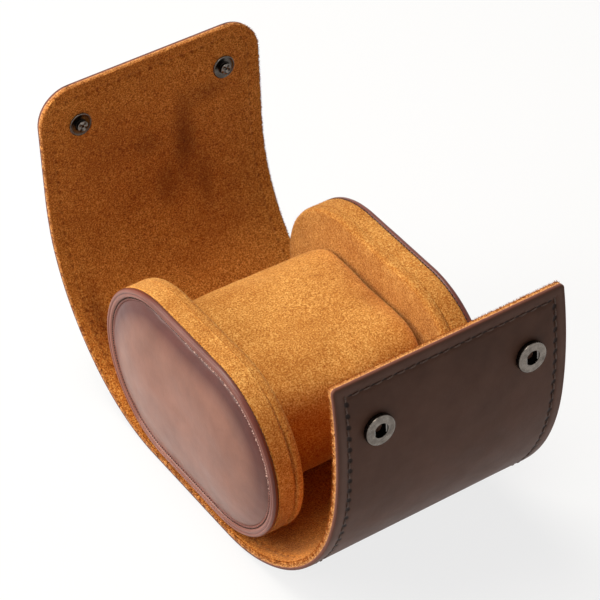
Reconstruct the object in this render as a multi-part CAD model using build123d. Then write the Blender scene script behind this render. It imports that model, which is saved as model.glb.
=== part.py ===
"""Watch travel case: a leather wrap lined with suede, two oval end pads and a lift-out watch cushion.

Millimetres, +Z up. The case stands open on the flat bottom of its wrap. X runs along the roll,
from the left pad to the right pad, -Y is the side of the short front flap with the two snap
sockets, and +Y is the side of the tall lid with the two snap studs. The origin is on the standing
face, under the middle of the case.
"""
from build123d import *
import math
import os

# ---------------------------------------------------------------- wrap
wrap_width = 92.0
leather = 1.2            # outer leather
lining = 1.2             # suede lining where a board lies behind it
board = 0.8              # stiffening board, or bonded felt in the bends
base_half = 24.5         # half the flat bottom, along Y
hinge_gap = 0.1          # between neighbouring lengths of the wrap, at the lining
hinge_relief = 2.8       # degrees that each end face leans back from the lining

# Each bend is a row of short lengths. A span is measured along the lining, and the curls are the
# degrees that each short length curls at rest.
flap_span = 20.2
flap_curls = (22.9, 17.3, 16.0, 16.4, 14.1)
flap_panel_length = 44.6
flap_panel_curl = 16.0
flap_corner_r = 1.6
lid_span = 20.2
lid_curls = (20.6, 18.8, 14.7, 15.4)
lid_upper_span = 12.5    # the two lengths next to the lid's panel
lid_upper_curls = (10.0, 7.0)
lid_panel_length = 43.0
lid_corner_r = 13.5

# ---------------------------------------------------------------- end pads
pad_half_length = 53.6   # along Y
pad_half_height = 35.6   # along Z, and the radius of the round ends
pad_seat_gap = 0.3       # under the pads, over the lining
pad_thickness = 13.1     # along X, from the leather rim to the suede face
pad_skin = 1.4           # suede of the gusset and inner face
pad_face_leather = 1.2
pad_crown = 3.2          # how far the padded face swells past its rim
pad_edge_r = 7.0         # roll of the padded face at its rim
pad_roll_angle = 52.0    # degrees the roll turns through
pad_crown_sink = 0.6     # the padded face starts this far behind the rim's plane
pad_crown_foot = 0.6
pad_lip_round = 1.0
pad_board = 1.5
piping_width = 2.4       # leather rim, seen on the face
piping_depth = 2.2       # leather rim, along X
piping_round = 0.7
pad_tray = 3.4           # how far the inner suede turns over the edge
seam_gap = 0.4           # groove between the inner suede and the gusset

# ---------------------------------------------------------------- watch cushion
cushion_gap = 0.3        # to the suede of each pad
cushion_width = 72.4     # along Y, at the middle
cushion_height = 47.0    # along Z, at the middle
cushion_corner_r = 14.0
cushion_end_drop = 1.7   # how much smaller the ends are, all round
cushion_swell = 0.6      # how much of the crown is left a short way in from the ends
cushion_shoulder = 3.5   # length of that short way
cushion_under = 12.2     # free height under it, for a strap and clasp
cushion_skin = 1.5

# ---------------------------------------------------------------- snaps
snap_spacing = 60.8
socket_edge = 20.8       # from the flap's free edge to the socket centres
stud_edge = 16.2         # from the lid's free edge to the stud centres
socket_r = 5.7
socket_height = 2.3
socket_bore_r = 2.65
socket_round = 0.45
wire_r = 0.35
wire_offset = 2.35       # of each spring wire from the socket's middle
wire_length = 7.0
wire_depth = 0.8         # below the socket's face
wire_clear = 0.1
barrel_r = 2.0           # of the rivet tubes that go through the wrap
barrel_wall = 0.4
barrel_clear = 0.1
eyelet_r = 4.5
eyelet_thick = 0.6
eyelet_lift = 0.08       # clears the hollow of the curved lining
eyelet_flare = 0.45      # rolled end of the eyelet's tube, under the socket
flare_lift = 0.02        # of the rolled end over the leather
stud_flange_r = 4.5
stud_flange = 0.6
stud_dish = 0.25
stud_dish_rim = 0.7
stud_neck_r = 1.8
stud_ball_r = 2.2
stud_height = 2.35       # of the head over the lining
stud_lip = 0.55
stud_taper = 0.2
stud_round = 0.35
stud_cap_r = 6.0
stud_cap_thick = 1.3
stud_cap_edge = 0.5
cap_tube_gap = 0.3       # from the end of the cap's tube to the stud's flange

thick = leather + board + lining
pad_outer_x = wrap_width / 2
pad_inner_x = pad_outer_x - pad_thickness
pad_z = thick + pad_seat_gap + pad_half_height
pad_straight = pad_half_length - pad_half_height


# ---------------------------------------------------------------- wrap geometry
class Span:
    """One length of the wrap, an arc in the YZ plane, that starts at a point of the lining."""

    def __init__(self, start, heading, length, curl):
        self.start = start
        self.heading = heading
        self.length = length
        self.curl = math.radians(curl)

    def at(self, s, depth=0.0):
        """Point at s along the lining and depth into the wrap, in run and rise."""
        turn = self.curl * s / self.length
        angle = self.heading + turn
        chord = s if abs(turn) < 1e-9 else s * math.sin(turn / 2) / (turn / 2)
        run = self.start[0] + chord * math.cos(self.heading + turn / 2)
        rise = self.start[1] + chord * math.sin(self.heading + turn / 2)
        return run + depth * math.sin(angle), rise - depth * math.cos(angle)

    def angle(self, s):
        return self.heading + self.curl * s / self.length

    def end(self):
        return self.at(self.length), self.angle(self.length)

    def setback(self, depth):
        """Distance along the lining by which an end face stands back at a depth."""
        shift = hinge_gap / 2 + depth * math.tan(math.radians(hinge_relief))
        return shift / (1 + depth * self.curl / self.length)


def spans_of(bends, panel_length, panel_curl):
    spans = []
    point = (base_half, thick)
    heading = 0.0
    for length, curl in bends + [(panel_length, panel_curl)]:
        span = Span(point, heading, length, curl)
        spans.append(span)
        point, heading = span.end()
    return spans


def layer(span, side, top, bottom, free_end=False):
    """A layer of the wrap between two depths. side is -1 for the flap and 1 for the lid."""

    def point(s, depth):
        run, rise = span.at(s, depth)
        return Vector(0, side * run, rise)

    first_top = span.setback(top)
    first_bottom = span.setback(bottom)
    last_top = span.length - (0 if free_end else first_top)
    last_bottom = span.length - (0 if free_end else first_bottom)
    middle = span.length / 2
    a = point(first_top, top)
    b = point(last_top, top)
    c = point(last_bottom, bottom)
    d = point(first_bottom, bottom)
    if abs(span.curl) < 1e-9:
        edges = [Line(a, b), Line(b, c), Line(c, d), Line(d, a)]
    else:
        edges = [
            ThreePointArc(a, point(middle, top), b),
            Line(b, c),
            ThreePointArc(c, point(middle, bottom), d),
            Line(d, a),
        ]
    face = Face(Wire(edges))
    return extrude(face, amount=wrap_width / 2, dir=(1, 0, 0), both=True)


def rounded_end(solid, span, side, radius):
    """Round the two corners at the free end of a panel."""
    run, rise = span.at(span.length)
    tip = Vector(0, side * run, rise)

    def from_tip(edge):
        middle = edge.center()
        return (Vector(0, middle.Y, middle.Z) - tip).length

    through = solid.edges().filter_by(GeomType.LINE).filter_by(lambda e: abs(e.tangent_at(0).X) < 0.5)
    return fillet(through.sort_by(from_tip)[:2], radius)


def snap_planes(span, side, from_edge, depth):
    """Planes at the two snaps, at a depth of the wrap, facing out of the case for depth > 0."""
    s = span.length - from_edge
    run, rise = span.at(s, depth)
    angle = span.angle(s)
    outward = Vector(0, side * math.sin(angle), -math.cos(angle))
    planes = []
    for x in (-snap_spacing / 2, snap_spacing / 2):
        planes.append(Plane(origin=(x, side * run, rise), x_dir=(1, 0, 0), z_dir=outward))
    return planes


def flipped(plane):
    return Plane(origin=plane.origin, x_dir=plane.x_dir, z_dir=-plane.z_dir)


def disc(plane, radius, height, start=0.0):
    return plane * Pos(0, 0, start + height / 2) * Cylinder(radius, height)


def outermost_rim(solid, plane):
    """The round edge of a solid that is furthest from a plane's origin."""
    rims = solid.edges().filter_by(GeomType.CIRCLE)
    return rims.sort_by(lambda edge: (edge.center() - plane.origin).length)[-1]


# ---------------------------------------------------------------- racetrack solids
def carried_round(face):
    """Carry a half section, drawn upright at one end of the straight, round the pad's outline."""
    run = extrude(face, amount=2 * pad_straight, dir=(0, 1, 0))
    far = Pos(0, 2 * pad_straight, 0) * face
    turn = revolve(far, Axis((0, pad_straight, 0), (-1, 0, 0)), 180)
    half = run + turn
    back = Rot(180, 0, 0) * half
    return Pos(0, 0, pad_z) * (half + back)


def racetrack(profile, sign):
    """A ring or disc of the pad's outline. The profile is drawn in (distance, x) points."""
    points = [Vector(sign * x, -pad_straight, distance) for distance, x in profile]
    return carried_round(Face(Wire.make_polygon(points, close=True)))


# ---------------------------------------------------------------- end pads
def crown(edge, base_x, rise, roll, sign):
    """Padded face: a rolled edge that runs into a gently swelling middle, over a flat back."""
    y = -pad_straight
    steep = math.radians(pad_roll_angle)
    centre = edge - roll * math.sin(steep)
    low, high = edge, 100 * edge
    for _ in range(60):
        big = (low + high) / 2
        meet = math.asin(centre / (big - roll))
        drop = big * (1 - math.cos(meet)) + roll * (math.cos(meet) - math.cos(steep))
        if drop > rise:
            low = big
        else:
            high = big
    tip = base_x + rise

    def on_big(angle):
        return Vector(sign * (tip - big * (1 - math.cos(angle))), y, big * math.sin(angle))

    roll_x = tip - big + (big - roll) * math.cos(meet)

    def on_roll(angle):
        return Vector(sign * (roll_x + roll * math.cos(angle)), y, centre + roll * math.sin(angle))

    rim = on_roll(steep)
    back_rim = Vector(sign * (base_x - pad_crown_foot), y, edge)
    back_mid = Vector(sign * (base_x - pad_crown_foot), y, 0)
    edges = [
        ThreePointArc(on_big(0), on_big(meet / 2), on_big(meet)),
        ThreePointArc(on_big(meet), on_roll((meet + steep) / 2), rim),
        Line(rim, back_rim),
        Line(back_rim, back_mid),
        Line(back_mid, on_big(0)),
    ]
    return carried_round(Face(Wire(edges)))


def pad_parts(sign):
    """The seven pieces of one end pad; sign is -1 for the left pad and 1 for the right one."""
    r = pad_half_height
    inner_wall = r - pad_skin
    face_edge = r - piping_width
    face_back = pad_outer_x - piping_depth
    crown_base = pad_outer_x - pad_crown_sink
    board_back = face_back - pad_board
    tray_lip = pad_inner_x + pad_tray
    tray_floor = pad_inner_x + pad_skin
    shell_out = crown(face_edge, crown_base, pad_crown, pad_edge_r, sign)
    padding_edge = face_edge - pad_face_leather
    padding_base = crown_base - pad_face_leather
    padding_roll = pad_edge_r - pad_face_leather
    foot = racetrack(
        [(0, face_back), (face_edge, face_back), (face_edge, crown_base), (0, crown_base)], sign
    )
    padding_foot = racetrack(
        [(0, face_back), (padding_edge, face_back), (padding_edge, padding_base), (0, padding_base)], sign
    )
    padding = crown(padding_edge, padding_base, pad_crown, padding_roll, sign) + padding_foot
    padding = padding & racetrack(
        [(0, face_back), (r, face_back), (r, 2 * pad_outer_x), (0, 2 * pad_outer_x)], sign
    )
    face_leather = (shell_out + foot) - padding
    piping = racetrack(
        [
            (face_edge, face_back),
            (r, face_back),
            (r, pad_outer_x - piping_round),
            (r - piping_round / 3, pad_outer_x - piping_round / 3),
            (r - piping_round, pad_outer_x),
            (face_edge + piping_round, pad_outer_x),
            (face_edge, pad_outer_x - piping_round),
        ],
        sign,
    )
    stiffener = racetrack(
        [(0, board_back), (inner_wall, board_back), (inner_wall, face_back), (0, face_back)], sign
    )
    seam = tray_lip + seam_gap
    gusset = racetrack([(inner_wall, seam), (r, seam), (r, face_back), (inner_wall, face_back)], sign)
    inner_suede = racetrack(
        [
            (0, pad_inner_x),
            (r - pad_lip_round, pad_inner_x),
            (r - pad_lip_round / 3, pad_inner_x + pad_lip_round / 3),
            (r, pad_inner_x + pad_lip_round),
            (r, tray_lip),
            (inner_wall, tray_lip),
            (inner_wall, tray_floor),
            (0, tray_floor),
        ],
        sign,
    )
    foam = racetrack(
        [(0, tray_floor), (inner_wall, tray_floor), (inner_wall, board_back), (0, board_back)], sign
    )
    return {
        "face_leather": face_leather,
        "face_padding": padding,
        "rim_piping": piping,
        "board": stiffener,
        "gusset": gusset,
        "foam": foam,
        "inner_suede": inner_suede,
    }


# ---------------------------------------------------------------- cushion
def cushion_block(shrink, half_length):
    """Crowned block: full in the middle, drawn in at the ends."""
    z = thick + cushion_under + cushion_height / 2
    sections = []
    shoulder = half_length - cushion_shoulder
    stations = [
        (-half_length, cushion_end_drop),
        (-shoulder, cushion_swell),
        (0.0, 0.0),
        (shoulder, cushion_swell),
        (half_length, cushion_end_drop),
    ]
    for x, drop in stations:
        inset = drop + shrink
        outline = RectangleRounded(
            cushion_width - 2 * inset, cushion_height - 2 * inset, cushion_corner_r - inset
        )
        plane = Plane(origin=(x, 0, z), x_dir=(0, 1, 0), z_dir=(1, 0, 0))
        sections.append(plane * outline)
    return loft(sections)


def cushion_parts():
    half_length = pad_inner_x - cushion_gap
    outer = cushion_block(0.0, half_length)
    inner = cushion_block(cushion_skin, half_length)
    sleeve_half = half_length - cushion_skin
    z = thick + cushion_under + cushion_height / 2
    span_box = Pos(0, 0, z) * Box(2 * sleeve_half, 2 * cushion_width, 2 * cushion_height)
    foam = inner & span_box
    sleeve = (outer & span_box) - foam
    ends = outer - span_box
    left = ends.solids().sort_by(Axis.X)[0]
    right = ends.solids().sort_by(Axis.X)[-1]
    return {
        "cushion_sleeve": sleeve,
        "cushion_foam": foam,
        "cushion_end_left": left,
        "cushion_end_right": right,
    }


# ---------------------------------------------------------------- snaps
def socket_parts(span):
    """Socket, spring wires and eyelet on the flap, each as two separate solids."""
    sockets = []
    wires = []
    eyelets = []
    wire_z = socket_height - wire_depth
    for face in snap_planes(span, -1, socket_edge, thick):
        body = disc(face, socket_r, socket_height)
        body = fillet(outermost_rim(body, face), socket_round)
        body -= disc(face, socket_bore_r, 2 * socket_height, -socket_height / 2)
        body -= disc(face, barrel_r + eyelet_flare + barrel_clear, eyelet_flare + barrel_clear)
        slot = wire_r + wire_clear
        for offset in (-wire_offset, wire_offset):
            channel = face * Pos(offset, 0, wire_z) * Box(2 * slot, wire_length + 2 * wire_clear, 2 * slot)
            body -= channel
            wires.append(face * Pos(offset, 0, wire_z) * Rot(90, 0, 0) * Cylinder(wire_r, wire_length))
        sockets.append(body)
    for face in snap_planes(span, -1, socket_edge, 0.0):
        flange = disc(flipped(face), eyelet_r, eyelet_thick, eyelet_lift)
        tube = disc(face, barrel_r, eyelet_lift + thick + flare_lift + eyelet_flare, -eyelet_lift)
        flare = disc(face, barrel_r + eyelet_flare, eyelet_flare, thick + flare_lift)
        bore = disc(face, barrel_r - barrel_wall, 2 * thick, -eyelet_lift)
        eyelets.append(flange + tube + flare - bore)
    return sockets, wires, eyelets


def stud_parts(span):
    """Stud on the lid's lining and its cap on the outer leather, each as two separate solids."""
    studs = []
    caps = []
    for face in snap_planes(span, 1, stud_edge, 0.0):
        inward = flipped(face)
        flange = disc(inward, stud_flange_r, stud_flange)
        flange -= disc(inward, stud_flange_r - stud_dish_rim, stud_dish, stud_flange - stud_dish)
        neck = disc(inward, stud_neck_r, stud_height - stud_lip - stud_taper)
        ball = disc(inward, stud_ball_r, stud_lip, stud_height - stud_lip)
        ball = fillet(outermost_rim(ball, face), stud_round)
        taper_z = stud_height - stud_lip - stud_taper / 2
        taper = inward * Pos(0, 0, taper_z) * Cone(stud_neck_r, stud_ball_r, stud_taper)
        post = disc(face, barrel_r - barrel_wall, thick)
        studs.append(flange + neck + taper + ball + post)
    for face in snap_planes(span, 1, stud_edge, thick):
        cap = disc(face, stud_cap_r, stud_cap_thick)
        cap = fillet(outermost_rim(cap, face), stud_cap_thick - stud_cap_edge)
        sleeve = disc(flipped(face), barrel_r, thick - cap_tube_gap)
        sleeve -= disc(flipped(face), barrel_r - barrel_wall, thick)
        caps.append(cap + sleeve)
    return studs, caps


def snap_holes(span, side, from_edge):
    holes = []
    for face in snap_planes(span, side, from_edge, 0.0):
        holes.append(disc(face, barrel_r + barrel_clear, 4 * thick, -2 * thick))
    return holes


# ---------------------------------------------------------------- assembly
def base_parts():
    def slab(top, bottom):
        upper = base_half - hinge_gap / 2 - top * math.tan(math.radians(hinge_relief))
        lower = base_half - hinge_gap / 2 - bottom * math.tan(math.radians(hinge_relief))
        points = [
            Vector(0, -upper, thick - top),
            Vector(0, upper, thick - top),
            Vector(0, lower, thick - bottom),
            Vector(0, -lower, thick - bottom),
        ]
        face = Face(Wire.make_polygon(points, close=True))
        return extrude(face, amount=wrap_width / 2, dir=(1, 0, 0), both=True)

    return {
        "base_lining": slab(0, lining),
        "base_board": slab(lining, lining + board),
        "base_leather": slab(lining + board, thick),
    }


def wrap_side(name, side, spans, corner_r, from_edge):
    parts = {}
    for number, span in enumerate(spans[:-1], start=1):
        parts[f"{name}_lining_{number}"] = layer(span, side, 0, lining + board)
        parts[f"{name}_leather_{number}"] = layer(span, side, lining + board, thick)
    last = spans[-1]
    holes = snap_holes(last, side, from_edge)
    depths = {"lining": (0, lining), "board": (lining, lining + board), "leather": (lining + board, thick)}
    for kind, (top, bottom) in depths.items():
        solid = rounded_end(layer(last, side, top, bottom, free_end=True), last, side, corner_r)
        for hole in holes:
            solid -= hole
        parts[f"{name}_panel_{kind}"] = solid
    return parts


def build():
    parts = base_parts()
    flap_bends = [(flap_span, curl) for curl in flap_curls]
    lid_bends = [(lid_span, curl) for curl in lid_curls]
    lid_bends += [(lid_upper_span, curl) for curl in lid_upper_curls]
    flap_spans = spans_of(flap_bends, flap_panel_length, flap_panel_curl)
    lid_spans = spans_of(lid_bends, lid_panel_length, 0.0)
    flap = wrap_side("flap", -1, flap_spans, flap_corner_r, socket_edge)
    lid = wrap_side("lid", 1, lid_spans, lid_corner_r, stud_edge)
    parts.update(flap)
    parts.update(lid)
    for word, sign in (("left", -1), ("right", 1)):
        for kind, solid in pad_parts(sign).items():
            parts[f"pad_{word}_{kind}"] = solid
    parts.update(cushion_parts())
    sockets, wires, eyelets = socket_parts(flap_spans[-1])
    studs, caps = stud_parts(lid_spans[-1])
    parts["snap_sockets"] = Compound(children=sockets)
    parts["snap_springs"] = Compound(children=wires)
    parts["snap_eyelets"] = Compound(children=eyelets)
    parts["snap_studs"] = Compound(children=studs)
    parts["snap_caps"] = Compound(children=caps)
    return parts


os.makedirs("parts", exist_ok=True)
for node, shape in build().items():
    export_step(shape, f"parts/{node}.step")
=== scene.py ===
"""Looks of the watch travel case: leather and suede skins, padded ends, a cushion, stitching and snaps."""
import math

import bmesh
import bpy
import numpy as np
from mathutils import Matrix, Vector


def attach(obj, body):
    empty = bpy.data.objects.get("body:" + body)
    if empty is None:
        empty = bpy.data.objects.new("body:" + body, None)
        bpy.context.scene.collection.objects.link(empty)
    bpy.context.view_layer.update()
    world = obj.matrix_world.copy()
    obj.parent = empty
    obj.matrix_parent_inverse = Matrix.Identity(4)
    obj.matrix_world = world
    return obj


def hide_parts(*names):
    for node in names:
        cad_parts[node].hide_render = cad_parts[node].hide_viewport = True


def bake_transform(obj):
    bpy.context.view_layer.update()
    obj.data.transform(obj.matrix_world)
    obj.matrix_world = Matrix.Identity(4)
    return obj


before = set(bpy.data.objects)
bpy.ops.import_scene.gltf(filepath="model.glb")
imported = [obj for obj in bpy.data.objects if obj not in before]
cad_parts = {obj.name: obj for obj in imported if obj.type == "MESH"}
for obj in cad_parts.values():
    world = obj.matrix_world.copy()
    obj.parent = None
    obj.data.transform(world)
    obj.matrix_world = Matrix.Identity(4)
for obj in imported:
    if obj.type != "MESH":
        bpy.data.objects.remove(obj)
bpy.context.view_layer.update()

# ------------------------------------------------------------ sizes, millimetres
MM = 0.001
weld = 0.003 * MM
wrap_half = 46.0
felt_and_lining = 2.0
thick = 3.2
base_half = 24.5
flap_lengths = (base_half, 20.2, 20.2, 20.2, 20.2, 20.2, 44.6)
flap_curls = (0.0, 22.9, 17.3, 16.0, 16.4, 14.1, 16.0)
flap_corner = 1.6
lid_lengths = (base_half, 20.2, 20.2, 20.2, 20.2, 12.5, 12.5, 43.0)
lid_curls = (0.0, 20.6, 18.8, 14.7, 15.4, 10.0, 7.0, 0.0)
lid_corner = 13.5
stitch_inset = 4.4
stitch_pitch = 4.4

pad_straight = 18.0
pad_radius = 35.6
pad_z = 39.1
pad_inner_x = 32.9

cushion_half = 32.6
cushion_y = 36.2
cushion_z = 23.5
cushion_corner = 14.0
cushion_middle = 38.9

snap_x = 30.4
socket_edge = 20.8
stud_edge = 16.2


# ------------------------------------------------------------ meshes
def unit(value):
    """A value held between 0 and 1."""
    return np.clip(value, 0, 1)


def dome(off, wide):
    """exp(-(off / wide)^2)."""
    return np.exp(-((off / wide) ** 2))


def quads(n):
    """Four corners of each cell of a grid of point numbers."""
    return np.stack([n[:-1, :-1], n[:-1, 1:], n[1:, 1:], n[1:, :-1]], -1).reshape(-1, 4)


def shell_faces(rows, columns):
    """Quads of a closed shell: a top grid, a bottom grid of the same size and the wall between their borders."""
    n = np.arange(rows * columns).reshape(rows, columns)
    border = np.concatenate([n[0, :], n[1:, -1], n[-1, -2::-1], n[-2:0:-1, 0]])
    after = np.roll(border, -1)
    wall = np.stack([border, after, after + n.size, border + n.size], 1)
    return np.concatenate([quads(n), quads(n + n.size), wall])


def ring_faces(rows, columns):
    """Quads of a grid whose last column joins its first."""
    n = np.arange(rows * columns).reshape(rows, columns)
    return quads(np.concatenate([n, n[:, :1]], 1))


def torus_faces(rows, columns):
    """Quads of a grid that joins up both ways."""
    n = np.arange(rows * columns).reshape(rows, columns)
    n = np.concatenate([n, n[:, :1]], 1)
    return quads(np.concatenate([n, n[:1, :]], 0))


def piece(name, points, faces, material, sharp=None, values=(), fuzz=None):
    """A mesh object from points in millimetres, welded, with its faces turned outwards. faces is an array or a
    function of the two sizes of the grid of points. fuzz adds nap fibres."""
    faces = (faces(*points.shape[:2]) if callable(faces) else faces).tolist()
    points = points.reshape(-1, 3)
    count = len(points)
    if fuzz is not None:
        points = np.concatenate([points, fuzz.reshape(-1, 3)])
        faces = faces + fibre_faces(len(fuzz), count).tolist()
    mesh = bpy.data.meshes.new(name)
    mesh.from_pydata((points * MM).tolist(), [], faces)
    for label, value in values:
        layer = mesh.attributes.new(label, "FLOAT", "POINT")
        filled = np.zeros(len(points), np.float32)
        filled[:count] = np.asarray(value, np.float32).ravel()
        layer.data.foreach_set("value", filled)
    work = bmesh.new()
    work.from_mesh(mesh)
    bmesh.ops.remove_doubles(work, verts=work.verts, dist=weld)
    bmesh.ops.dissolve_degenerate(work, dist=weld / 30, edges=work.edges)
    bmesh.ops.recalc_face_normals(work, faces=work.faces)
    work.to_mesh(mesh)
    work.free()
    mesh.shade_smooth()
    if sharp:
        mesh.set_sharp_from_angle(angle=math.radians(sharp))
    mesh.materials.append(material)
    made = bpy.data.objects.new(name, mesh)
    bpy.context.scene.collection.objects.link(made)
    return made


def fibre_faces(count, start):
    """Three sides and a foot for each fibre, whose four points are a foot triangle and a tip."""
    sides = np.array([[0, 1, 3], [1, 2, 3], [2, 0, 3], [2, 1, 0]])
    return (sides[None] + start + 4 * np.arange(count)[:, None, None]).reshape(-1, 3)


def fibres(root, out, length, seed, width=0.1, spread=0.45, sunk=0.06):
    """Short nap fibres: thin spikes that lean at random from the way out, each a sunk foot triangle and a tip."""
    rng = np.random.default_rng(seed)
    lean = out + rng.normal(0, spread, root.shape)
    lean = lean / np.linalg.norm(lean, axis=1, keepdims=True)
    side = np.cross(lean, rng.normal(0, 1, root.shape))
    side = side / np.linalg.norm(side, axis=1, keepdims=True)
    third = np.cross(lean, side)
    turn = np.array([0.0, 2.1, 4.2])[None, :, None]
    foot = root[:, None] - sunk * lean[:, None]
    foot = foot + width / 2 * (np.cos(turn) * side[:, None] + np.sin(turn) * third[:, None])
    reach = length * rng.uniform(0.4, 1.0, (len(root), 1))
    return np.concatenate([foot, (root + reach * lean)[:, None]], 1)


# ------------------------------------------------------------ materials
WHITE, GREY, BLACK = (1.0, 1.0, 1.0), (0.75, 0.75, 0.75), (0.0, 0.0, 0.0)


class Graph:
    """Short ways to add shader nodes to a tree. A value is a number, a colour or another node's output."""

    def __init__(self, tree):
        self.nodes, self.links = tree.nodes, tree.links

    def give(self, socket, value):
        if isinstance(value, bpy.types.NodeSocket):
            self.links.new(value, socket)
        else:
            socket.default_value = value

    def add(self, kind, inputs, output=0, **settings):
        node = self.nodes.new("ShaderNode" + kind)
        for label, value in settings.items():
            setattr(node, label, value)
        for label, value in inputs.items():
            self.give(node.inputs[label], value)
        return node.outputs[output]

    def math(self, operation, a, b=0.0):
        return self.add("Math", {0: a, 1: b}, operation=operation)

    def mix(self, mode, factor, a, b):
        return self.add("Mix", {"Factor": factor, "A": a, "B": b}, "Result", data_type="RGBA", blend_type=mode)

    def ramp(self, factor, *stops):
        node = self.nodes.new("ShaderNodeValToRGB")
        elements = node.color_ramp.elements
        for k in (0, 1):
            elements[k].position, elements[k].color = stops[-k][0], (*stops[-k][1], 1)
        for at, colour in stops[1:-1]:
            elements.new(at).color = (*colour, 1)
        self.links.new(factor, node.inputs["Fac"])
        return node.outputs["Color"]

    def tint(self, colour, factor, *stops, amount=1.0):
        """A colour times a ramp of the factor."""
        return self.mix("MULTIPLY", amount, colour, self.ramp(factor, *stops))

    def bump(self, height, strength, distance, normal=None):
        inputs = {"Strength": strength, "Distance": distance, "Height": height}
        return self.add("Bump", inputs if normal is None else {**inputs, "Normal": normal}, "Normal")

    def attribute(self, label):
        return self.add("Attribute", {}, "Fac", attribute_name=label)

    def bell(self, value, middle, steep):
        """exp(-steep (value - middle)^2)."""
        off = self.math("SUBTRACT", value, middle)
        return self.math("EXPONENT", self.math("MULTIPLY", self.math("MULTIPLY", off, off), -steep))

    def needle_holes(self):
        """How near a point is to a needle hole: a bell across the seam, a little to its inner side, times nearly the
        square of a raised cosine along it, slanted."""
        across, along = self.attribute("seam_across"), self.attribute("seam_along")
        slanted = self.math("ADD", along, self.math("MULTIPLY", across, 0.07))
        wave = self.math("COSINE", self.math("MULTIPLY", slanted, 2 * math.pi))
        raised = self.math("MULTIPLY", self.math("ADD", wave, 1.0), 0.5)
        return self.math("MULTIPLY", self.bell(across, 0.3, 1.4), self.math("POWER", raised, 1.9))


class Material(Graph):
    """A new material with its shader and the place on the object."""

    def __init__(self, name):
        self.made = bpy.data.materials.new(name)
        self.made.use_nodes = True
        super().__init__(self.made.node_tree)
        self.place = self.add("TexCoord", {}, "Object")

    def noise(self, scale, detail=3.0, rough=0.55, vector=None):
        inputs = {"Scale": scale, "Detail": detail, "Roughness": rough, "Vector": vector or self.place}
        return self.add("TexNoise", inputs, "Fac")

    def gloss(self, value, low, high):
        """A roughness between two limits."""
        return self.add("MapRange", {"To Min": low, "To Max": high, "Value": value}, "Result")

    def shaded(self, colour, normal, rough, **scalars):
        inputs = {"Base Color": colour, "Normal": normal, "Roughness": rough}
        inputs.update({label.replace("_", " "): value for label, value in scalars.items()})
        for label, value in inputs.items():
            self.give(self.nodes["Principled BSDF"].inputs[label], value)
        return self.made


def suede(name, dark, middle, light, sewn=False):
    """Napped suede: a fine speckle of fibre ends, brushed patches where the nap lies over, and a soft sheen. sewn
    adds painted shade in its needle holes, darker patches (pushed-over nap on the lid, painted shade over the
    bottom) and a pale cut edge; otherwise the attribute deep paints shade on it."""
    m = Material(name)
    ends = m.noise(1750.0, 2.0, 0.7)
    turned = {"Scale": (30, 55, 36), "Rotation": (0.4, 0.2, 0.7), "Vector": m.place}
    brushed = m.noise(1.0, 3.5, 0.62, m.add("Mapping", turned, "Vector"))
    colour = m.ramp(ends, (0.36, dark), (0.46, middle), (0.52, middle), (0.62, light))
    colour = m.tint(colour, m.noise(380.0, 2.0), (0.30, (0.86, 0.77, 0.67)), (0.68, WHITE))
    colour = m.tint(colour, brushed, (0.36, (0.76, 0.64, 0.52)), (0.60, WHITE), amount=0.7)
    if sewn:
        # painted shade in the needle holes
        colour = m.tint(colour, m.needle_holes(), (0.3, WHITE), (0.95, (0.58, 0.46, 0.40)))
        # darker patches: painted shade over the bottom, pushed-over nap on the lid
        nap_and_shade_patches = m.math("MULTIPLY", m.attribute("nap_lies_over"), brushed)
        colour = m.tint(colour, nap_and_shade_patches, (0.08, WHITE), (0.55, (0.42, 0.31, 0.24)))
        cut = m.ramp(m.attribute("cut_edge"), (0.3, BLACK), (1.0, GREY))
        pale = m.ramp(ends, (0.36, (0.52, 0.22, 0.07)), (0.60, (0.88, 0.50, 0.22)))
        colour = m.mix("MIX", cut, colour, pale)
    else:
        # painted shade where the attribute deep marks it
        colour = m.tint(colour, m.attribute("deep"), (0.0, WHITE), (1.0, (0.42, 0.33, 0.28)))
    tufts = m.bump(m.noise(1200.0, 3.0, 0.75), 0.7, 0.0007)
    sheen = dict(Sheen_Weight=0.3, Sheen_Roughness=0.4, Sheen_Tint=(1.0, 0.74, 0.40, 1))
    return m.shaded(colour, tufts, 0.95, Specular_IOR_Level=0.1, **sheen)


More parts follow.
